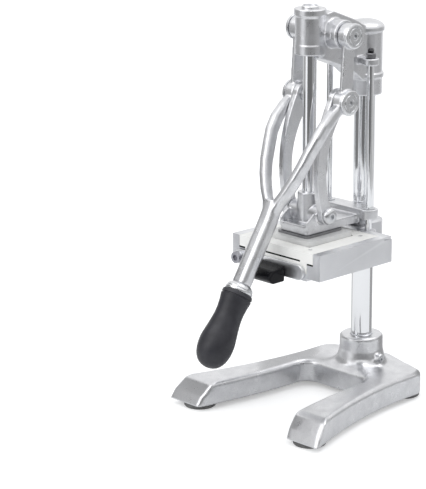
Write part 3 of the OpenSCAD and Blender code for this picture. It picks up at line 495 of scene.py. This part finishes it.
# Blade cassette. Two moulded halves of ivory plastic, screwed together, that slide into the tray.
# Three black blocks are painted shade: two fill the shaded openings beside the lower half, under the
# cover's edges, and one fills the shaded slit between the halves.
slit_w, slit_h, slit_d = 69.6, 2.3, 3.7
slide_shade_w, slide_shade_h, slide_shade_drop, slide_shade_out = 8.1, 1.6, 0.9, 0.3
strip_inset = 0.2
ivory = make_finish(
    "ivory plastic", (0.83, 0.825, 0.80), (0.89, 0.885, 0.865), (0.48, 0.38), metallic=0.0,
    edge_wear_and_highlight=(0.93, 0.93, 0.915), specular=0.4, Size=0.6, Relief=0.008, Wave=20, Wave_relief=0.05, Edge=0.4,
)
softened("blade_holder", "cassette_lower", "stand", ivory, edge=0.5)
softened("holder_cover", "cassette_upper", "stand", ivory, edge=1.2)
softened("holder_screws", "cover_screws", "stand", turned_steel, edge=0.2)
shade_black = make_finish(
    "black painted shade", (0.003, 0.003, 0.004), (0.006, 0.006, 0.007), (0.8, 0.7), metallic=0.0, specular=0.08,
    Size=0.5, Relief=0.004, Wave=20, Wave_relief=0.01, Edge=0.0,
)
low, high, mid = measured("blade_holder")
slide_shade_x = (high.x + measured("holder_cover")[1].x) / 2 + slide_shade_out
slide_shade_z = high.z - slide_shade_drop
slide_shade_size = (slide_shade_w, high.y - low.y - 2 * strip_inset, slide_shade_h)
slit_place = (0, low.y + strip_inset + slit_d / 2, high.z - strip_inset + slit_h / 2)
# Each block is black, painted shade where the slit and the side openings lie in shadow.
for name, place, size in (
    ("slit_shade", slit_place, (slit_w, slit_d, slit_h)),
    ("slide_shade_right", (slide_shade_x, mid.y, slide_shade_z), slide_shade_size),
    ("slide_shade_left", (-slide_shade_x, mid.y, slide_shade_z), slide_shade_size),
):
    bpy.ops.mesh.primitive_cube_add(size=1, location=Vector(place) * mm, scale=Vector(size) * mm)
    strip = bpy.context.active_object
    strip.name = name
    bpy.ops.object.transform_apply(location=True, rotation=True, scale=True)
    dress(strip, shade_black, "stand", "blade_holder")

# Blades. Thin ground strips of stainless steel in two crossed tiers of six. Their ends are notched
# into the cassette, which keeps them upright and evenly spaced.
ground_steel = make_finish(
    "ground steel", (0.70, 0.71, 0.72), (0.80, 0.81, 0.82), (0.26, 0.18), Size=0.3, Relief=0.004, Wave=15,
    Wave_relief=0.02, Edge=0.5,
)
softened("blades_lengthwise", "blades_long", "stand", ground_steel, edge=0.15, steps=2)
softened("blades_crosswise", "blades_cross", "stand", ground_steel, edge=0.15, steps=2)

# Head. A casting with the piston's boss in front, two side bosses for the lever, and a domed rear boss
# that is clamped to the column's top by a set screw.
casting("head_casting", "head", "stand", voxel=0.75, rounds=4)
softened("head_screw", "head_set_screw", "stand", black_oxide, edge=0.3)

# Piston bushing. A turned sleeve, as satin as the head, in which the piston rod slides. It is pressed
# into the head's front boss, and its chamfered ring stands above it.
bore_room = 0.25
past = 1  # how far a bore is cut past the face that it opens in
low, high, mid = measured("piston_bushing")
bush_r = (high.x - low.x) / 2
bore_r = measured("piston_rod")[1].x + bore_room
bushing = turned(
    "bushing",
    [(bush_r, low.z), (bush_r, high.z - 1.6), (bush_r - 0.15, high.z - 0.9), (bush_r - 0.6, high.z - 0.3),
     (bush_r - 1.2, high.z), (bore_r + 0.1, high.z)],
    (mid.x, mid.y, 0), up, cuts=[(bore_r, low.z - past, high.z + past, 64)],
)
dress(bushing, cast_aluminium, "stand", "piston_bushing")

# Guide rods. Two thin chromed rods beside the column. Their blackened thread ends carry hex nuts on the
# head's lugs.
thread_start, thread_deep, thread_pitch = 1, 0.5, 1
nut_room = 0.1
low, high, mid = measured("guide_rods")
nut_low, nut_high, _ = measured("guide_nuts")
rod_r = (high.y - low.y) / 2
nut_r = (nut_high.y - nut_low.y) / 2
thread_z = nut_low.z + thread_start
for side, label in ((1, "right"), (-1, "left")):
    foot = (side * (high.x - rod_r), mid.y, 0)
    rod = turned(f"guide_rod_{label}", rod_profile(rod_r, low.z, thread_z, edge=0.3), foot, up)
    dress(rod, chrome, "stand", "guide_rods")
    thread = [(rod_r - thread_deep, thread_z)]
    while thread[-1][1] < high.z - 2 * thread_pitch:
        root_z = thread[-1][1]
        thread += [(rod_r, root_z + thread_pitch / 2), (rod_r - thread_deep, root_z + thread_pitch)]
    thread += [(rod_r - 0.9, high.z - 0.5), (rod_r - 1.8, high.z)]
    thread_end = turned(f"rod_thread_{label}", thread, foot, up, sides=48)
    dress(thread_end, black_oxide, "stand", "guide_rods")
    nut = turned(
        f"rod_nut_{label}",
        [(nut_r * 0.9, nut_low.z), (nut_r, nut_low.z + 0.6), (nut_r, nut_high.z - 0.8),
         (nut_r * 0.86, nut_high.z)],
        foot, up, cuts=[(rod_r + nut_room, nut_low.z - past, nut_high.z + past, 48)], sides=6,
    )
    dress(nut, black_oxide, "stand", "guide_nuts")

# Pivot screws of the lever. Shouldered steel screws with broad, chamfered discs; each disc has a ring
# groove and a small hex socket, and its pin carries a hub.
disc_h, groove_r = 3, 8.8


def hex_socket(radius, depth, face):
    """The cut of a hex socket, this deep in a screw's face."""
    return radius, face - depth, face + past, 6


for node, name, body, pin in (
    ("top_pivot_screws", "head_pivot_screw", "stand", 25.5),
    ("side_pivot_screws", "lever_pivot_screw", "lever", 11.7),
):
    low, high, mid = measured(node)
    rim = (high.z - low.z) / 2
    for side, label in ((1, "right"), (-1, "left")):
        disc = turned(
            f"{name}_{label}",
            [(4.6, -pin), (5, 0.4 - pin), (5, 0), (rim - 0.3, 0), (rim, 0.3), (rim, disc_h - 1.0),
             (rim - 0.25, disc_h - 0.45), (rim - 1.0, disc_h), (groove_r + 0.7, disc_h),
             (groove_r + 0.3, disc_h - 0.5), (groove_r - 0.3, disc_h - 0.5), (groove_r - 0.7, disc_h),
             (6.5, disc_h), (4.6, disc_h), (4.2, disc_h - 0.3), (3.8, disc_h - 0.3)],
            (side * (high.x - disc_h), mid.y, mid.z), (side, 0, 0),
            cuts=[hex_socket(radius=2.6, depth=1.8, face=disc_h)],
        )
        dress(disc, turned_steel, body, node)

# Lever. One aluminium casting: two cranks that hang from the head's side bosses, with a hub at each
# end, and a fork whose legs run together into the shank behind the grip.
casting("lever_yoke", "lever_fork", "lever", voxel=0.8, rounds=10)

# Ferrule and grip. A bright turned ring above a pear-shaped grip, moulded in satin charcoal plastic
# and pushed on the lever's tang. The grip's line holds places along it and radii, as shares of each.
tang_r, tang_share, ferrule_len = 5.3, 0.61, 9
lever_foot = measured("side_pivot_screws")[2]
grip_corners = [corner.co / mm for corner in nodes["grip"].data.vertices]
lever_way = (sum(grip_corners, Vector()) / len(grip_corners) - lever_foot).normalized()
reaches = [(corner - lever_foot).dot(lever_way) for corner in grip_corners]
grip_start, grip_len = min(reaches), max(reaches) - min(reaches)
grip_r = max((corner - lever_foot).cross(lever_way).length for corner in grip_corners)
grip_top = lever_foot + lever_way * grip_start
grip_line = [
    (0.00, 0.80), (0.012, 0.86), (0.045, 0.885), (0.052, 0.845), (0.064, 0.845), (0.071, 0.885), (0.09, 0.87),
    (0.16, 0.815), (0.25, 0.78), (0.33, 0.785), (0.40, 0.82), (0.48, 0.875), (0.55, 0.93), (0.61, 0.975),
    (0.66, 1.00), (0.71, 1.00), (0.76, 0.985), (0.81, 0.945), (0.86, 0.88), (0.90, 0.79), (0.94, 0.66),
    (0.965, 0.53), (0.985, 0.36), (0.995, 0.2), (1.00, 0.03),
]
grip = turned(
    "hand_grip", [(share * grip_r, along * grip_len) for along, share in grip_line],
    grip_top, lever_way, cuts=[(tang_r, -past, grip_len * tang_share, 48)],
)
charcoal = make_finish(
    "charcoal plastic", (0.019, 0.019, 0.024), (0.031, 0.031, 0.038), (0.46, 0.36), metallic=0.0,
    edge_wear_and_highlight=(0.08, 0.08, 0.09), specular=0.4, Size=0.5, Relief=0.02, Wave=10, Wave_relief=0.05, Edge=0.3,
)
dress(grip, charcoal, "lever", "grip")
ferrule = turned(
    "ferrule_ring",
    [(13.9, 0), (14.5, 0.4), (14.8, 1.0), (14.8, 2.6), (14.4, 3.3), (13.7, 3.6), (13.7, 4.0), (14.0, 4.4),
     (13.7, 5.6), (12.6, 7.2), (11.2, 8.3), (9.9, 8.9)],
    grip_top, -lever_way, cuts=[(tang_r, -past, ferrule_len + past, 48)],
)
dress(ferrule, turned_steel, "lever", "ferrule")

# Connecting arms. Two bowed aluminium castings, one on each side, between the lever's lower pivot and
# the carriage. Turned steel pins hold their upper eyes on the lever.
casting("connecting_arm_left", "arm_left", "arms", voxel=0.6, rounds=6)
casting("connecting_arm_right", "arm_right", "arms", voxel=0.6, rounds=6)
softened("arm_pins", "pins", "arms", turned_steel, edge=0.5)

# Carriage. A casting with a tube for the piston rod, a hub for the arms and a crossbar with two bushed
# ears on the guide rods.
casting("carriage_casting", "carriage", "carriage", voxel=0.7, rounds=4)
softened("guide_bushes", "rod_bushes", "carriage", turned_steel, edge=0.3)

# Piston rod. Ground and chromed, pressed into the carriage's tube; it slides in the head's bushing. Its
# domed end is bare and satin.
end_h = 3
low, high, mid = measured("piston_rod")
end_z = high.z - end_h
piston = turned(
    "piston", [(high.x - 0.6, low.z), (high.x, low.z + 0.6), (high.x, end_z)], (0, mid.y, 0), up, sides=96,
)
dress(piston, chrome, "carriage", "piston_rod")
piston_end = turned(
    "piston_end",
    [(high.x, end_z), (high.x, high.z - 1.5), (high.x - 0.4, high.z - 0.9), (high.x - 1.4, high.z - 0.5),
     (high.x - 3, high.z - 0.2), (high.x - 5, high.z - 0.04), (0.4, high.z)],
    (0, mid.y, 0), up, sides=96,
)
dress(piston_end, cast_aluminium, "carriage", "piston_rod")

# Carriage pivot screws. Two turned steel screws with domed heads and a hex socket, one in each side of
# the carriage's hub. The arms' lower eyes turn on their pins.
head_h, pin = 5.5, 16
low, high, mid = measured("lower_pivot_screws")
rim = (high.z - low.z) / 2
for side, label in ((1, "right"), (-1, "left")):
    screw = turned(
        f"carriage_pivot_screw_{label}",
        [(3.6, -pin), (4, 0.4 - pin), (4, 0), (rim - 0.3, 0), (rim, 0.3), (rim, 2.0), (rim - 0.4, 3.2),
         (rim - 1.3, 4.3), (rim - 2.8, 5.1), (rim - 4.4, head_h), (3.9, head_h)],
        (side * (high.x - head_h), mid.y, mid.z), (side, 0, 0),
        cuts=[hex_socket(radius=2.8, depth=2.4, face=head_h)],
    )
    dress(screw, turned_steel, "carriage", "lower_pivot_screws")

# Pusher. A steel plate and a block of ivory plastic, whose fingers pass between the blades, screwed to
# the carriage from above. The plate is painted dark for the shade in the gaps above and below it, and the
# block is painted grey for the shade that the carriage casts on it.
# Painted shade: the plate is dark grey for the shadow gaps above and below it.
plate_painted_shade = make_finish(
    "steel, painted shade", (0.20, 0.20, 0.21), (0.28, 0.28, 0.29), (0.42, 0.32), edge_wear_and_highlight=(0.6, 0.6, 0.62),
    Size=0.5, Relief=0.01, Wave=10, Wave_relief=0.02, Edge=0.7,
)
softened("pusher_plate", "plate", "carriage", plate_painted_shade, edge=0.3)
# Painted shade: the pusher's ivory is greyed for the shade under the carriage.
ivory_painted_shade = make_finish(
    "pusher ivory, painted shade", (0.56, 0.56, 0.56), (0.64, 0.64, 0.635), (0.40, 0.30), metallic=0.0,
    edge_wear_and_highlight=(0.72, 0.72, 0.715), Size=0.6, Relief=0.008, Wave=20, Wave_relief=0.05, Edge=0.4,
)
softened("pusher_block", "pusher", "carriage", ivory_painted_shade, edge=0.9, steps=4)
softened("pusher_screws", "block_screws", "carriage", turned_steel, edge=0.3)

# Latch. A bright plated bar across the tray's front, hung on a zinc plated cap screw with a washer, and a
# glossy moulded finger block.
zinc = make_finish(
    "zinc plated steel", (0.30, 0.30, 0.33), (0.42, 0.42, 0.46), (0.36, 0.26), edge_wear_and_highlight=(0.75, 0.75, 0.78),
    Size=0.4, Relief=0.004, Wave=8, Wave_relief=0.02, Edge=0.7,
)
softened("latch_bolt", "latch_cap_screw", "stand", zinc, edge=0.4)
softened("latch_washer", "washer", "stand", turned_steel, edge=0.2)
plated = make_finish(
    "satin plate", (0.74, 0.75, 0.77), (0.84, 0.85, 0.87), (0.36, 0.28), edge_wear_and_highlight=(0.95, 0.95, 0.96),
    Size=0.4, Relief=0.004, Wave=20, Wave_relief=0.02, Edge=0.6,
)
softened("latch_bar", "latch_strip", "latch", plated, edge=0.9)
gloss_black = make_finish(
    "gloss black plastic", (0.004, 0.004, 0.005), (0.006, 0.006, 0.008), (0.26, 0.20), metallic=0.0,
    edge_wear_and_highlight=(0.02, 0.02, 0.024), specular=0.14, Size=0.6, Relief=0.004, Wave=12, Wave_relief=0.05, Edge=0.5,
)
softened("latch_grip", "latch_block", "latch", gloss_black, edge=2.0, steps=4)

# The dressed part's box; the CAD box was taken after the import.
low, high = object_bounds()
